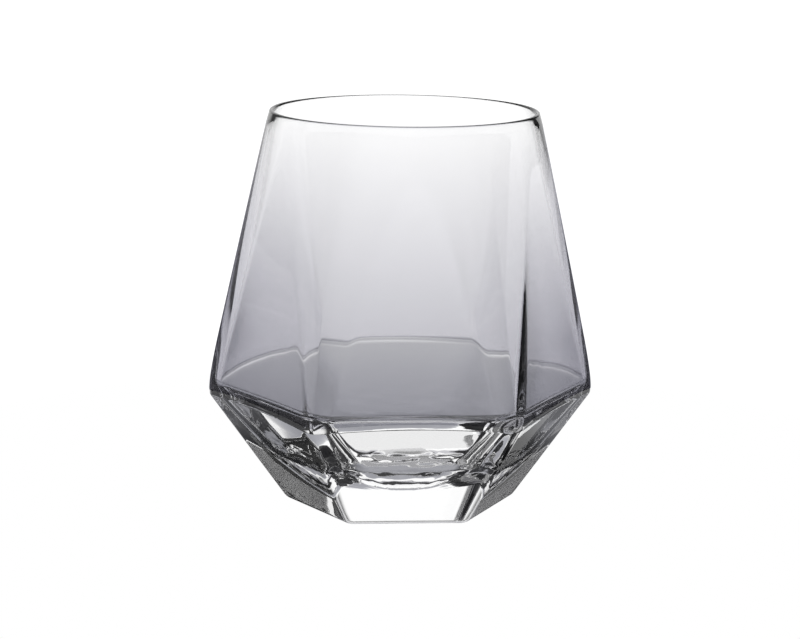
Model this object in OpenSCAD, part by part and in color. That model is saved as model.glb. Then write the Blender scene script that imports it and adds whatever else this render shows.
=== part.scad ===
// Stemless whiskey tumbler with a round mouth, a hexagonal belly and a smaller hexagonal foot.
// Six tall panels narrow from the belly to the mouth, and six short facets run in to the foot.
// The vertical edges are crisp at the belly and fade out towards the mouth.
// +Z is up and the origin is the centre of the face that the glass stands on. Millimetres.

/* [Overall] */
// Height from the table to the top of the lip
total_h = 100; // [92:1:108]
// Outside diameter of the round mouth
mouth_d = 67.5; // [62:0.5:74]

/* [Hexagonal belly] */
// Width over the sharp corners of the belly, the widest line of the glass
belly_d = 99; // [94:1:104]
// Height of the belly line above the table
belly_z = 28.8; // [27:0.2:31]
// Radius that rounds each corner and edge of the belly
belly_round = 5.5; // [4:0.5:7]

/* [Shoulder] */
// Height above the belly line over which the tall panels bow outwards
shoulder_rise = 14; // [10:1:18]
// Width over the sharp corners at the top of that bow
shoulder_d = 96.4; // [95:0.2:97]
// Radius that rounds the corners there
shoulder_round = 11.5; // [10:0.5:13]

/* [Foot] */
// Width over the sharp corners of the foot
foot_d = 58; // [56:1:64]
// Radius that rounds each corner of the foot
foot_round = 2.5; // [2:0.5:4]
// Height and depth of the softened edge around the resting face
foot_edge = 1.2; // [0.8:0.1:1.6]

/* [Wall and cavity] */
// Wall thickness at the lip
lip_wall = 1.2; // [1:0.1:2]
// Width over the sharp corners of the cavity's widest line
cavity_d = 90.5; // [86:0.5:91]
// Height of that line above the table
cavity_z = 30.5; // [29:0.5:33]
// Radius that rounds the cavity's belly corners
cavity_round = 6; // [5:0.5:10]
// Width over the sharp corners of the cavity's floor
floor_d = 58; // [56:1:62]
// Radius that blends the cavity's floor into its walls
floor_round = 6; // [5:0.5:8]
// Height of the floor's edge above the table
floor_edge_z = 14.5; // [13:0.5:16]
// Thickness of the solid clear base under the middle of the cavity
floor_t = 12; // [9:0.1:12]
// Radius of the flat middle of the floor
floor_flat_r = 14; // [10:1:18]

/* [Tint coating] */
// Thickness of the coating's solid
coat_t = 0.2; // [0.15:0.05:0.3]
// Bare band left between the coating and the top of the lip
coat_gap = 2; // [1:0.5:6]

/* [Hidden] */
sides = 6;
corner_turn = 360 / sides;
flat_share = cos(180 / sides);
lip_round = lip_wall / 2;
// How far the cavity's cutter runs on above the lip
over = 4;
// Height of the thin slices that a hull is drawn over
sliver = 0.2;
ball_fn = 32;
round_fn = 96;

// Places one child in each corner of a hexagon, touching both sharp sides.
// One corner points along +X, so two flats face +Y and -Y.
module in_corners(sharp_d, corner_r) {
    for (i = [0 : sides - 1]) {
        rotate([0, 0, i * corner_turn]) translate([sharp_d / 2 - corner_r / flat_share, 0, 0]) children();
    }
}

// Outer skin of the glass, moved outwards by grow: a round lip drawn down to a bowed hexagon and its foot.
module outer_skin(grow) {
    hull() {
        translate([0, 0, total_h - lip_round]) rotate_extrude($fn = round_fn)
            translate([mouth_d / 2 - lip_round, 0]) circle(r = lip_round + grow, $fn = 24);
        translate([0, 0, belly_z]) in_corners(belly_d, belly_round)
            sphere(r = belly_round + grow, $fn = ball_fn);
        translate([0, 0, belly_z + shoulder_rise]) in_corners(shoulder_d, shoulder_round)
            cylinder(r = shoulder_round + grow, h = sliver, $fn = round_fn);
        translate([0, 0, foot_edge]) in_corners(foot_d, foot_round)
            cylinder(r = foot_round + grow, h = sliver, $fn = ball_fn);
        in_corners(foot_d, foot_round) cylinder(r = foot_round - foot_edge + grow, h = sliver, $fn = ball_fn);
    }
}

// Cavity of the glass: hexagonal at its widest line, dished at the floor, open past the round lip.
module cavity() {
    mouth_r = mouth_d / 2 - lip_wall;
    hull() {
        translate([0, 0, total_h - lip_round]) cylinder(r = mouth_r, h = over, $fn = round_fn);
        translate([0, 0, cavity_z]) in_corners(cavity_d, cavity_round) sphere(r = cavity_round, $fn = ball_fn);
        translate([0, 0, floor_edge_z + floor_round]) in_corners(floor_d, floor_round)
            sphere(r = floor_round, $fn = ball_fn);
        translate([0, 0, floor_t]) cylinder(r = floor_flat_r, h = sliver, $fn = round_fn);
    }
}

// One piece of clear pressed glass, with a thick solid base.
module glass_body() {
    color([0.93, 0.95, 0.97, 0.45]) difference() {
        outer_skin(0);
        cavity();
    }
}

// Smoke-grey coating sprayed on the outside of the six tall panels, from the belly line up.
module tint_coating() {
    band_h = total_h - coat_gap - belly_z;
    color([0.30, 0.30, 0.34, 0.55]) difference() {
        intersection() {
            outer_skin(coat_t);
            translate([0, 0, belly_z]) cylinder(d = belly_d + 10, h = band_h);
        }
        outer_skin(0);
    }
}

glass_body();
tint_coating();
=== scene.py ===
"""A stemless hexagonal whiskey tumbler: one body of clear glass and its smoke-grey gradient coating."""

import math

import bpy
import numpy as np
from mathutils import Matrix, Vector


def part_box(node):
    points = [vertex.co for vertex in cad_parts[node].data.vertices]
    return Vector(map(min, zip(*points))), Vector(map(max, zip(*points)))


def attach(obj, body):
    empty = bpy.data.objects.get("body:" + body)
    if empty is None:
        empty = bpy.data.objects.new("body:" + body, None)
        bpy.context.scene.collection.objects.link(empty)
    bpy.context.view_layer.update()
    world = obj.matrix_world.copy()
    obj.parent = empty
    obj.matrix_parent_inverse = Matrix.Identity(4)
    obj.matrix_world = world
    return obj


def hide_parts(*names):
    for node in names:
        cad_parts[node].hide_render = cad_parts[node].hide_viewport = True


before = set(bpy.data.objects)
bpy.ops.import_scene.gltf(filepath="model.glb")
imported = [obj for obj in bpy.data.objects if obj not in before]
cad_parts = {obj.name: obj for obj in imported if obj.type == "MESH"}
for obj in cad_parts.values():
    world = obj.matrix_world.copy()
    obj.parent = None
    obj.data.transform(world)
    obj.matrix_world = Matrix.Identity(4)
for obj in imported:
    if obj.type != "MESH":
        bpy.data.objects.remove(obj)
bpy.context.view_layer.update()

MM = 0.001
glass_low, glass_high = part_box("glass_body")
coat_low, coat_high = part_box("tint_coating")

# ---- The glass, in millimetres -------------------------------------------------------------------
HEIGHT = (glass_high.z - glass_low.z) / MM
FLAT = math.cos(math.pi / 6)
# The belly's rounded corners lie on the CAD box's two X sides.
BELLY_CORNER = glass_high.x / MM
BELLY_ROUND = 6.0
BELLY_Z = coat_low.z / MM
# How far above and below the belly line its bend reaches, and how much of the width that bend takes off.
BELLY_SOFT_UP = 14.0
BELLY_SOFT_DOWN = 1.5
BELLY_BEND_TAKES = 0.82
# The belly line rises by this much in the middle of each flat.
BELLY_RISE = 1.4
FOOT_SHARP = 29.1
FOOT_ROUND = 2.4
FOOT_EDGE = 1.4
MOUTH_R = 33.75
LIP_R = 0.55
CAVITY_BELLY_SHARP = 45.2
CAVITY_BELLY_ROUND = 5.66
CAVITY_BELLY_Z = 30.5
CAVITY_BELLY_SOFT = 1.2
CAVITY_RISE = 0.4
CAVITY_EDGE_SHARP = 29.0
CAVITY_EDGE_ROUND = 9.0
CAVITY_EDGE_Z = 17.56
CAVITY_EDGE_SOFT = 2.0
CAVITY_DISH_Z = 12.0
# The dish: its corner's share of the floor's width, and how far out along the floor its bend starts.
CAVITY_DISH_SHARE = 0.5
CAVITY_DISH_START = 0.1
# The last small ring in the middle of the dish, as a share of the floor's width.
CAVITY_MIDDLE_SHARE = 0.02
# Shallow waves inside the thick base: their depth, the heights they fade in and out over, and how much
# calmer they are in the middle of each flat.
RIPPLE = 0.04
RIPPLE_BAND = (10.5, 13.0, 18.0, 23.0)
RIPPLE_CALM = 0.3
# The waves that are summed: count round the glass, turn per mm of height, phase.
RIPPLE_WAVES = ((7, 3.1, 0.0), (11, -4.3, 1.7), (19, 2.3, 0.6), (31, -1.9, 2.9), (47, 1.1, 4.0))

# ---- Camera: distances in millimetres, angles in degrees ---------------------------------------
EYE_OUT = 609.4
EYE_UP = 173.3
EYE_TURN = -4.66
EYE_PITCH = 11.745
EYE_PAN = -0.043
EYE_ROLL = 0.773
LENS_SHARE = 2454 / 800
SENSOR = 36.0


# ---- Rings: every level of the glass is a hexagon of some size plus a rounding ------------------
SECTOR = math.radians(60)
ARC_STEPS = 30
EDGE_STEPS = 24
AROUND = 360
# How a ring's points crowd towards the corners: the even share, and the rest by the cube.
EVEN_SHARE = 0.3


def hexagon_basis():
    """For each point round a ring: its place on a unit hexagon, and the way that its normal points."""
    corner, normal = [], []
    for k in range(6):
        here = np.array([math.cos(k * SECTOR), math.sin(k * SECTOR)])
        after = np.array([math.cos((k + 1) * SECTOR), math.sin((k + 1) * SECTOR)])
        for i in range(ARC_STEPS + 1):
            a = (k - 0.5 + i / ARC_STEPS) * SECTOR
            corner.append(here)
            normal.append((math.cos(a), math.sin(a)))
        a = (k + 0.5) * SECTOR
        for i in range(1, EDGE_STEPS):
            corner.append(here + (after - here) * i / EDGE_STEPS)
            normal.append((math.cos(a), math.sin(a)))
    return np.array(corner), np.array(normal)


CORNER, NORMAL = hexagon_basis()


def around_angles():
    """The angles of a ring's points, closer together at the six corners than on the flats."""
    per = AROUND // 6
    s = (np.arange(per) + 0.5) / per * 2 - 1
    off = 0.5 * SECTOR * (EVEN_SHARE * s + (1 - EVEN_SHARE) * s**3)
    return np.concatenate([k * SECTOR + off for k in range(6)])


ANGLES = around_angles()
# 0 at the corners, rising to 1 in the middle of each flat.
MID_FLAT = 1 - ((np.abs((ANGLES + SECTOR / 2) % SECTOR - SECTOR / 2) / (SECTOR / 2)) - 1) ** 2


def ring(size, rounding):
    """Points of one level: a hexagon with corner centres at radius size, grown outwards by rounding."""
    p = size * CORNER + rounding * NORMAL
    a = np.unwrap(np.arctan2(p[:, 1], p[:, 0]))
    r = np.hypot(p[:, 0], p[:, 1])
    a3 = np.concatenate([a - 2 * math.pi, a, a + 2 * math.pi])
    return np.interp(ANGLES, a3, np.concatenate([r, r, r]))


def level(sharp, rounding, z, rise=0.0, bow=0.0):
    """A profile row: corner-centre radius, rounding, height, and its flats' rise and bow in their middles."""
    return np.array([sharp - rounding / FLAT, rounding, z, rise, bow])


def straight(a, b, steps):
    return [a + (b - a) * i / steps for i in range(steps)]


def bend(a, corner, b, steps):
    """A smooth quadratic bend from row a to row b that would otherwise meet at the corner row."""
    t = np.arange(steps)[:, None] / steps
    return list((1 - t) ** 2 * a + 2 * t * (1 - t) * corner + t**2 * b)


def ripples(z):
    """Fixed shallow waves round the inside of the thick base, strongest at its six inner edges."""
    low, low_full, high_full, high = RIPPLE_BAND
    band = np.clip((z - low) / (low_full - low), 0, 1) * np.clip((high - z) / (high - high_full), 0, 1)
    waves = sum(np.sin(count * ANGLES + turn * z + phase) for count, turn, phase in RIPPLE_WAVES)
    return RIPPLE * band * waves * (1 - RIPPLE_CALM * MID_FLAT)


def at_height(a, b, z):
    return a + (b - a) * (z - a[2]) / (b[2] - a[2])


def ring_points(row, rippled=False):
    """The points of one profile row. The belly line bows up and out in the middle of each flat."""
    size, rounding, z, rise, bow = row
    radius = ring(size, rounding) + bow * MID_FLAT
    high = z + rise * MID_FLAT
    if rippled:
        radius = radius + ripples(z)
    return np.stack([radius * np.cos(ANGLES), radius * np.sin(ANGLES), high], 1)


def mesh_of(name, rows, closed=False, rippled=()):
    """A smooth mesh through the rings of a profile, closed by a fan at each end or into a loop."""
    pts = np.concatenate([ring_points(row, i in rippled) for i, row in enumerate(rows)])
    n, m = AROUND, len(rows)
    faces = []
    for j in range(m if closed else m - 1):
        k = (j + 1) % m
        for i in range(n):
            i2 = (i + 1) % n
            faces.append((j * n + i, j * n + i2, k * n + i2, k * n + i))
    verts = [tuple(p) for p in pts * MM]
    if not closed:
        for j, z in ((0, rows[0][2]), (m - 1, rows[-1][2])):
            verts.append((0, 0, z * MM))
            c = len(verts) - 1
            for i in range(n):
                i2 = (i + 1) % n
                faces.append((c, j * n + i2, j * n + i) if j == 0 else (c, j * n + i, j * n + i2))
    mesh = bpy.data.meshes.new(name)
    mesh.from_pydata(verts, [], faces)
    mesh.update()
    mesh.polygons.foreach_set("use_smooth", [True] * len(mesh.polygons))
    ob = bpy.data.objects.new(name, mesh)
    bpy.context.scene.collection.objects.link(ob)
    return ob


FOOT = level(FOOT_SHARP, FOOT_ROUND, 0.0)
MOUTH = np.array([0.0, MOUTH_R, HEIGHT, 0, 0])
# The bend at the belly takes a little off the widest level, so its control row stands further out.
belly_out = BELLY_CORNER + BELLY_BEND_TAKES
# The lower facets stay flat, so the bow is the rise times the facet's slope.
facet_slope = FLAT * (belly_out - FOOT_SHARP) / BELLY_Z
BELLY = np.array([belly_out - BELLY_ROUND, BELLY_ROUND, BELLY_Z, BELLY_RISE, BELLY_RISE * facet_slope])


def outer_rows():
    """The outside from the foot's edge up to the start of the lip."""
    foot_in = FOOT - np.array([0, FOOT_EDGE, 0, 0, 0])
    foot_up = at_height(FOOT, BELLY, FOOT_EDGE)
    below = at_height(FOOT, BELLY, BELLY_Z - BELLY_SOFT_DOWN)
    above = at_height(BELLY, MOUTH, BELLY_Z + BELLY_SOFT_UP)
    top = at_height(BELLY, MOUTH, HEIGHT - LIP_R)
    return (
        bend(foot_in, FOOT, foot_up, 6)
        + straight(foot_up, below, 10)
        + bend(below, BELLY, above, 28)
        + straight(above, top, 34)
    )


def lip_rows():
    """The fire-polished lip, a half circle from the outside over to the inside."""
    steps = 14
    rows = []
    for i in range(steps + 1):
        a = math.pi * i / steps
        across, up = LIP_R * math.cos(a), LIP_R * math.sin(a)
        rows.append(np.array([0, MOUTH_R - LIP_R + across, HEIGHT - LIP_R + up, 0, 0]))
    return rows


def inner_rows():
    """The cavity from under the lip down to its floor."""
    top = np.array([0, MOUTH_R - 2 * LIP_R, HEIGHT - 2 * LIP_R, 0, 0])
    belly = level(CAVITY_BELLY_SHARP, CAVITY_BELLY_ROUND, CAVITY_BELLY_Z, CAVITY_RISE, 0.0)
    edge = level(CAVITY_EDGE_SHARP, CAVITY_EDGE_ROUND, CAVITY_EDGE_Z)
    above = at_height(belly, top, CAVITY_BELLY_Z + CAVITY_BELLY_SOFT)
    below = at_height(edge, belly, CAVITY_BELLY_Z - CAVITY_BELLY_SOFT)
    wall_end = at_height(edge, belly, CAVITY_EDGE_Z + CAVITY_EDGE_SOFT)
    dish_height = np.array([0, 0, CAVITY_DISH_Z, 0, 0])
    dish = edge * np.array([CAVITY_DISH_SHARE, CAVITY_DISH_SHARE, 0, 1, 1]) + dish_height
    dish_start = edge + (dish - edge) * CAVITY_DISH_START
    middle = edge * np.array([CAVITY_MIDDLE_SHARE, CAVITY_MIDDLE_SHARE, 0, 1, 1]) + dish_height
    return (
        straight(top, above, 40)
        + bend(above, belly, below, 16)
        + straight(below, wall_end, 24)
        + bend(wall_end, edge, dish_start, 18)
        + bend(dish_start, dish, middle, 30)
        + [middle]
    )


# ---- Materials -------------------------------------------------------------------------------
def node_material(name):
    mat = bpy.data.materials.new(name)
    mat.use_nodes = True
    tree = mat.node_tree
    tree.nodes.clear()
    out = tree.nodes.new("ShaderNodeOutputMaterial")
    return mat, tree, out


def math_node(tree, operation, *values):
    """A Math node on sockets or plain numbers; gives its output."""
    n = tree.nodes.new("ShaderNodeMath")
    n.operation = operation
    for socket, v in zip(n.inputs, values):
        if isinstance(v, (int, float)):
            socket.default_value = v
        else:
            tree.links.new(v, socket)
    return n.outputs[0]


def smooth_step(tree, value, low, high, to_low=0.0, to_high=1.0):
    """value mapped smoothly from low..high to to_low..to_high."""
    n = tree.nodes.new("ShaderNodeMapRange")
    n.interpolation_type = "SMOOTHSTEP"
    tree.links.new(value, n.inputs["Value"])
    for name, v in (("From Min", low), ("From Max", high), ("To Min", to_low), ("To Max", to_high)):
        n.inputs[name].default_value = v
    return n.outputs[0]


GLASS_IOR = 1.52


def clear_glass():
    mat, tree, out = node_material("clear_glass")
    p = tree.nodes.new("ShaderNodeBsdfPrincipled")
    p.inputs["Base Color"].default_value = (1, 1, 1, 1)
    p.inputs["Roughness"].default_value = 0.0
    p.inputs["IOR"].default_value = GLASS_IOR
    p.inputs["Transmission Weight"].default_value = 1.0
    tree.links.new(p.outputs[0], out.inputs["Surface"])
    return mat


# Optical density of one coat: at the belly line, and its power-law fade to nothing at the lip.
COAT_DENSITY = 0.37
COAT_FADE = 1.1
# How much of the longer way through the coat at a slant counts.
COAT_SLANT = 0.47
COAT_TINT = (1.0, 1.01, 0.89)


def smoke_tint():
    mat, tree, out = node_material("smoke_tint")
    new, link = tree.nodes.new, tree.links.new
    place = new("ShaderNodeTexCoord")
    split = new("ShaderNodeSeparateXYZ")
    link(place.outputs["Object"], split.inputs[0])
    share = new("ShaderNodeMapRange")
    link(split.outputs["Z"], share.inputs["Value"])
    share.inputs["From Min"].default_value = HEIGHT * MM
    share.inputs["From Max"].default_value = BELLY_Z * MM
    facing = new("ShaderNodeLayerWeight")
    facing.inputs["Blend"].default_value = 0.5
    straight_on = math_node(tree, "MAXIMUM", math_node(tree, "SUBTRACT", 1.0, facing.outputs["Facing"]), 0.08)
    longer = math_node(tree, "DIVIDE", 1.0, straight_on)
    slant = math_node(tree, "MULTIPLY_ADD", longer, COAT_SLANT, 1 - COAT_SLANT)
    fade = math_node(tree, "MULTIPLY", math_node(tree, "POWER", share.outputs[0], COAT_FADE), slant)
    tint = new("ShaderNodeCombineColor")
    for i, c in enumerate(COAT_TINT):
        # The shell has two faces, so each takes half of the density.
        link(math_node(tree, "POWER", math.exp(-0.5 * COAT_DENSITY * c), fade), tint.inputs[i])
    t = new("ShaderNodeBsdfTransparent")
    link(tint.outputs[0], t.inputs["Color"])
    link(t.outputs[0], out.inputs["Surface"])
    return mat


def vector_node(tree, operation, *values):
    """A Vector Math node on sockets; gives its output."""
    n = tree.nodes.new("ShaderNodeVectorMath")
    n.operation = operation
    for socket, v in zip(n.inputs, values):
        tree.links.new(v, socket)
    return n.outputs["Value" if operation == "LENGTH" else "Vector"]


def for_the_eye(tree, light):
    """Plain white to the eye itself, dimmer where it is mirrored, and dimmed on long ways in the glass."""
    path = tree.nodes.new("ShaderNodeLightPath")
    mirrored = math_node(tree, "MULTIPLY_ADD", path.outputs["Is Reflection Ray"], MIRRORED_LIGHT - 1, 1.0)
    first, last, left = LONG_WAY
    long_way = smooth_step(tree, path.outputs["Ray Depth"], first, last, 1.0, left)
    kept = math_node(tree, "MULTIPLY", mirrored, long_way)
    seen = vector_node(tree, "MULTIPLY", light, kept)
    return vector_node(tree, "MAXIMUM", seen, path.outputs["Is Camera Ray"])


def floor_material():
    """A white light table with painted shade: its glow is dimmed close to the glass as a painted shadow,
    bright further out, plain white to the eye.
    """
    mat, tree, out = node_material("studio_floor")
    new, link = tree.nodes.new, tree.links.new
    place = new("ShaderNodeTexCoord").outputs["Object"]
    far = math_node(tree, "DIVIDE", vector_node(tree, "LENGTH", place), MM)
    split = new("ShaderNodeSeparateXYZ")
    link(place, split.inputs[0])

    most_far, most_light = TABLE_GLOW_AND_PAINTED_SHADE[-1][0], max(glow for far_mm, glow in TABLE_GLOW_AND_PAINTED_SHADE)
    # Painted shadow: this ramp dims the table's glow close to the glass, and the side shade below darkens it
    # further to the glass's left and right.
    ramp = new("ShaderNodeValToRGB")
    for k, (far_mm, glow) in enumerate(TABLE_GLOW_AND_PAINTED_SHADE):
        stop = ramp.color_ramp.elements[k] if k < 2 else ramp.color_ramp.elements.new(1.0)
        stop.position = far_mm / most_far
        cool = min(1, max(0, (TABLE_COOL_TO - far_mm) / (TABLE_COOL_TO - TABLE_COOL_FROM)))
        stop.color = [glow / most_light * (1 + (c - 1) * cool) for c in TABLE_COOL] + [1]
    link(math_node(tree, "DIVIDE", far, most_far), ramp.inputs[0])

    # The glass shades the table close by on its left and right.
    turn = math_node(tree, "ABSOLUTE", math_node(tree, "ARCTAN2", split.outputs["Y"], split.outputs["X"]))
    turn = math_node(tree, "PINGPONG", turn, math.pi / 2)
    beside = smooth_step(tree, turn, *(math.radians(v) for v in SIDE_SHADE_TURN), 1.0, 0.0)
    beside = math_node(tree, "MULTIPLY", beside, smooth_step(tree, far, *SIDE_SHADE_FAR, 1.0, 0.0))
    shade = math_node(tree, "MULTIPLY_ADD", beside, -SIDE_SHADE * most_light, most_light)
    table = vector_node(tree, "MULTIPLY", ramp.outputs[0], shade)

    glow = new("ShaderNodeEmission")
    link(for_the_eye(tree, table), glow.inputs["Color"])
    link(glow.outputs[0], out.inputs["Surface"])
    return mat


# ---- Pieces ----------------------------------------------------------------------------------
def make_glass():
    outside = outer_rows() + lip_rows()
    inside = inner_rows()
    rows = outside + inside
    ob = mesh_of("tumbler_glass", rows, rippled=range(len(outside), len(rows)))
    ob.data.materials.append(clear_glass())
    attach(ob, "root")
    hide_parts("glass_body")


# The shell's distance off the glass and its thickness, in millimetres.
COAT_OFF = 0.03
COAT_THICK = 0.05
COAT_GAP = (glass_high.z - coat_high.z) / MM


def make_coating():
    """A thin closed shell just outside the tall panels, from the belly line up to under the lip."""
    rows = [r for r in outer_rows() if BELLY_Z <= r[2] <= HEIGHT - COAT_GAP]
    outside = [r + np.array([0, COAT_OFF + COAT_THICK, 0, 0, 0]) for r in rows]
    inside = [r + np.array([0, COAT_OFF, 0, 0, 0]) for r in reversed(rows)]
    ob = mesh_of("smoke_coating", outside + inside, closed=True)
    ob.data.materials.append(smoke_tint())
    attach(ob, "root")
    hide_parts("tint_coating")


# ---- Studio ----------------------------------------------------------------------------------
# The floor's radius, and how far it lies under the foot, in metres.
FLOOR_R = 4.0
FLOOR_SIDES = 96
FLOOR_DROP = 0.00005
# Light panels round the table: middle, half width and soft edge round the room; bottom, top and soft edge
# in height; light.
PANELS = (
    (0, 20, 12, -20, 32, 10, 1.07),
    (180, 30, 45, -20, 45, 25, 0.6),
    (-75, 40, 12, -20, 80, 12, 0.22),
    (0, 180, 1, 62, 90, 8, 0.9),
)
ROOM_LIGHT = 0.04
# The table's glow by distance in mm, dimmed close to the glass as a painted shadow, and a cool tint close to
# the glass, which fades out between two distances.
TABLE_GLOW_AND_PAINTED_SHADE = ((0, 0.3), (60, 0.42), (85, 0.5), (115, 0.6), (160, 1.12))
TABLE_COOL = (0.95, 0.96, 1.04)
TABLE_COOL_FROM = 70
TABLE_COOL_TO = 140
# The shade at the glass's left and right: how dark, its turn from the X axis in degrees, its reach in mm.
SIDE_SHADE = 0.95
SIDE_SHADE_TURN = (35, 60)
SIDE_SHADE_FAR = (45, 65)
# The share of the studio's light that the outside of the glass mirrors.
MIRRORED_LIGHT = 0.7
# Light that has met many faces is dimmed between these two counts, down to this share. This is for the look.
LONG_WAY = (7, 11, 0.05)


def make_floor():
    mesh = bpy.data.meshes.new("studio_floor")
    turns = [2 * math.pi * i / FLOOR_SIDES for i in range(FLOOR_SIDES)]
    verts = [(FLOOR_R * math.cos(a), FLOOR_R * math.sin(a), 0) for a in turns]
    mesh.from_pydata(verts, [], [tuple(range(FLOOR_SIDES))])
    mesh.materials.append(floor_material())
    ob = bpy.data.objects.new("studio_floor", mesh)
    ob.location.z = -FLOOR_DROP
    bpy.context.scene.collection.objects.link(ob)


def make_world():
    """Four soft white panels round a dim room. The eye itself sees a plain white surround."""
    world = bpy.data.worlds.new("studio")
    bpy.context.scene.world = world
    world.use_nodes = True
    tree = world.node_tree
    tree.nodes.clear()
    new, link = tree.nodes.new, tree.links.new
    out = new("ShaderNodeOutputWorld")
    back = new("ShaderNodeBackground")
    place = new("ShaderNodeTexCoord")
    split = new("ShaderNodeSeparateXYZ")
    link(place.outputs["Generated"], split.inputs[0])
    rise = math_node(tree, "ARCSINE", split.outputs["Z"])
    turn = math_node(tree, "ARCTAN2", split.outputs["X"], split.outputs["Y"])
    light = None
    for middle, half, soft_side, low, high, soft, glow in PANELS:
        # The angle to the panel's middle, from -180 to 180 degrees.
        off = math_node(tree, "SUBTRACT", turn, math.radians(middle))
        off = math_node(tree, "ABSOLUTE", math_node(tree, "WRAP", off, math.pi, -math.pi))
        across = smooth_step(tree, off, math.radians(half), math.radians(half + soft_side), 1.0, 0.0)
        above = smooth_step(tree, rise, math.radians(low - soft), math.radians(low))
        below = smooth_step(tree, rise, math.radians(high), math.radians(high + soft), 1.0, 0.0)
        panel = math_node(tree, "MULTIPLY", math_node(tree, "MULTIPLY", above, below), across)
        panel = math_node(tree, "MULTIPLY_ADD", panel, glow - ROOM_LIGHT, ROOM_LIGHT)
        light = panel if light is None else math_node(tree, "MAXIMUM", light, panel)
    link(for_the_eye(tree, light), back.inputs["Color"])
    link(back.outputs[0], out.inputs["Surface"])


def make_camera():
    """The eye looks a little down on the glass, from slightly to one side of the front flat."""
    cam = bpy.data.cameras.new("camera")
    cam.sensor_width = SENSOR
    cam.lens = SENSOR * LENS_SHARE
    cam.clip_end = 50
    ob = bpy.data.objects.new("camera", cam)
    bpy.context.scene.collection.objects.link(ob)
    turn = math.radians(EYE_TURN)
    pan, pitch, roll = (math.radians(v) for v in (EYE_PAN, EYE_PITCH, EYE_ROLL))
    place = Vector((math.sin(turn), -math.cos(turn), 0)) * EYE_OUT * MM + Vector((0, 0, EYE_UP * MM))
    forward = Vector((math.sin(pan) * math.cos(pitch), math.cos(pan) * math.cos(pitch), -math.sin(pitch)))
    right = Vector((math.cos(pan), -math.sin(pan), 0))
    about = Matrix.Rotation(turn, 3, "Z")
    forward, right = about @ forward, about @ right
    up = right.cross(forward)
    right, up = math.cos(roll) * right + math.sin(roll) * up, math.cos(roll) * up - math.sin(roll) * right
    m = Matrix((right, up, -forward)).transposed().to_4x4()
    m.translation = place
    ob.matrix_world = m
    bpy.context.scene.camera = ob


def set_light_paths():
    """Thick clear glass needs long light paths, and each coat takes several see-through steps."""
    c = bpy.context.scene.cycles
    c.max_bounces = 32
    c.transmission_bounces = 32
    c.glossy_bounces = 32
    c.transparent_max_bounces = 64
    bpy.context.scene.view_settings.view_transform = "Standard"


make_glass()
make_coating()
make_floor()
make_world()
make_camera()
set_light_paths()
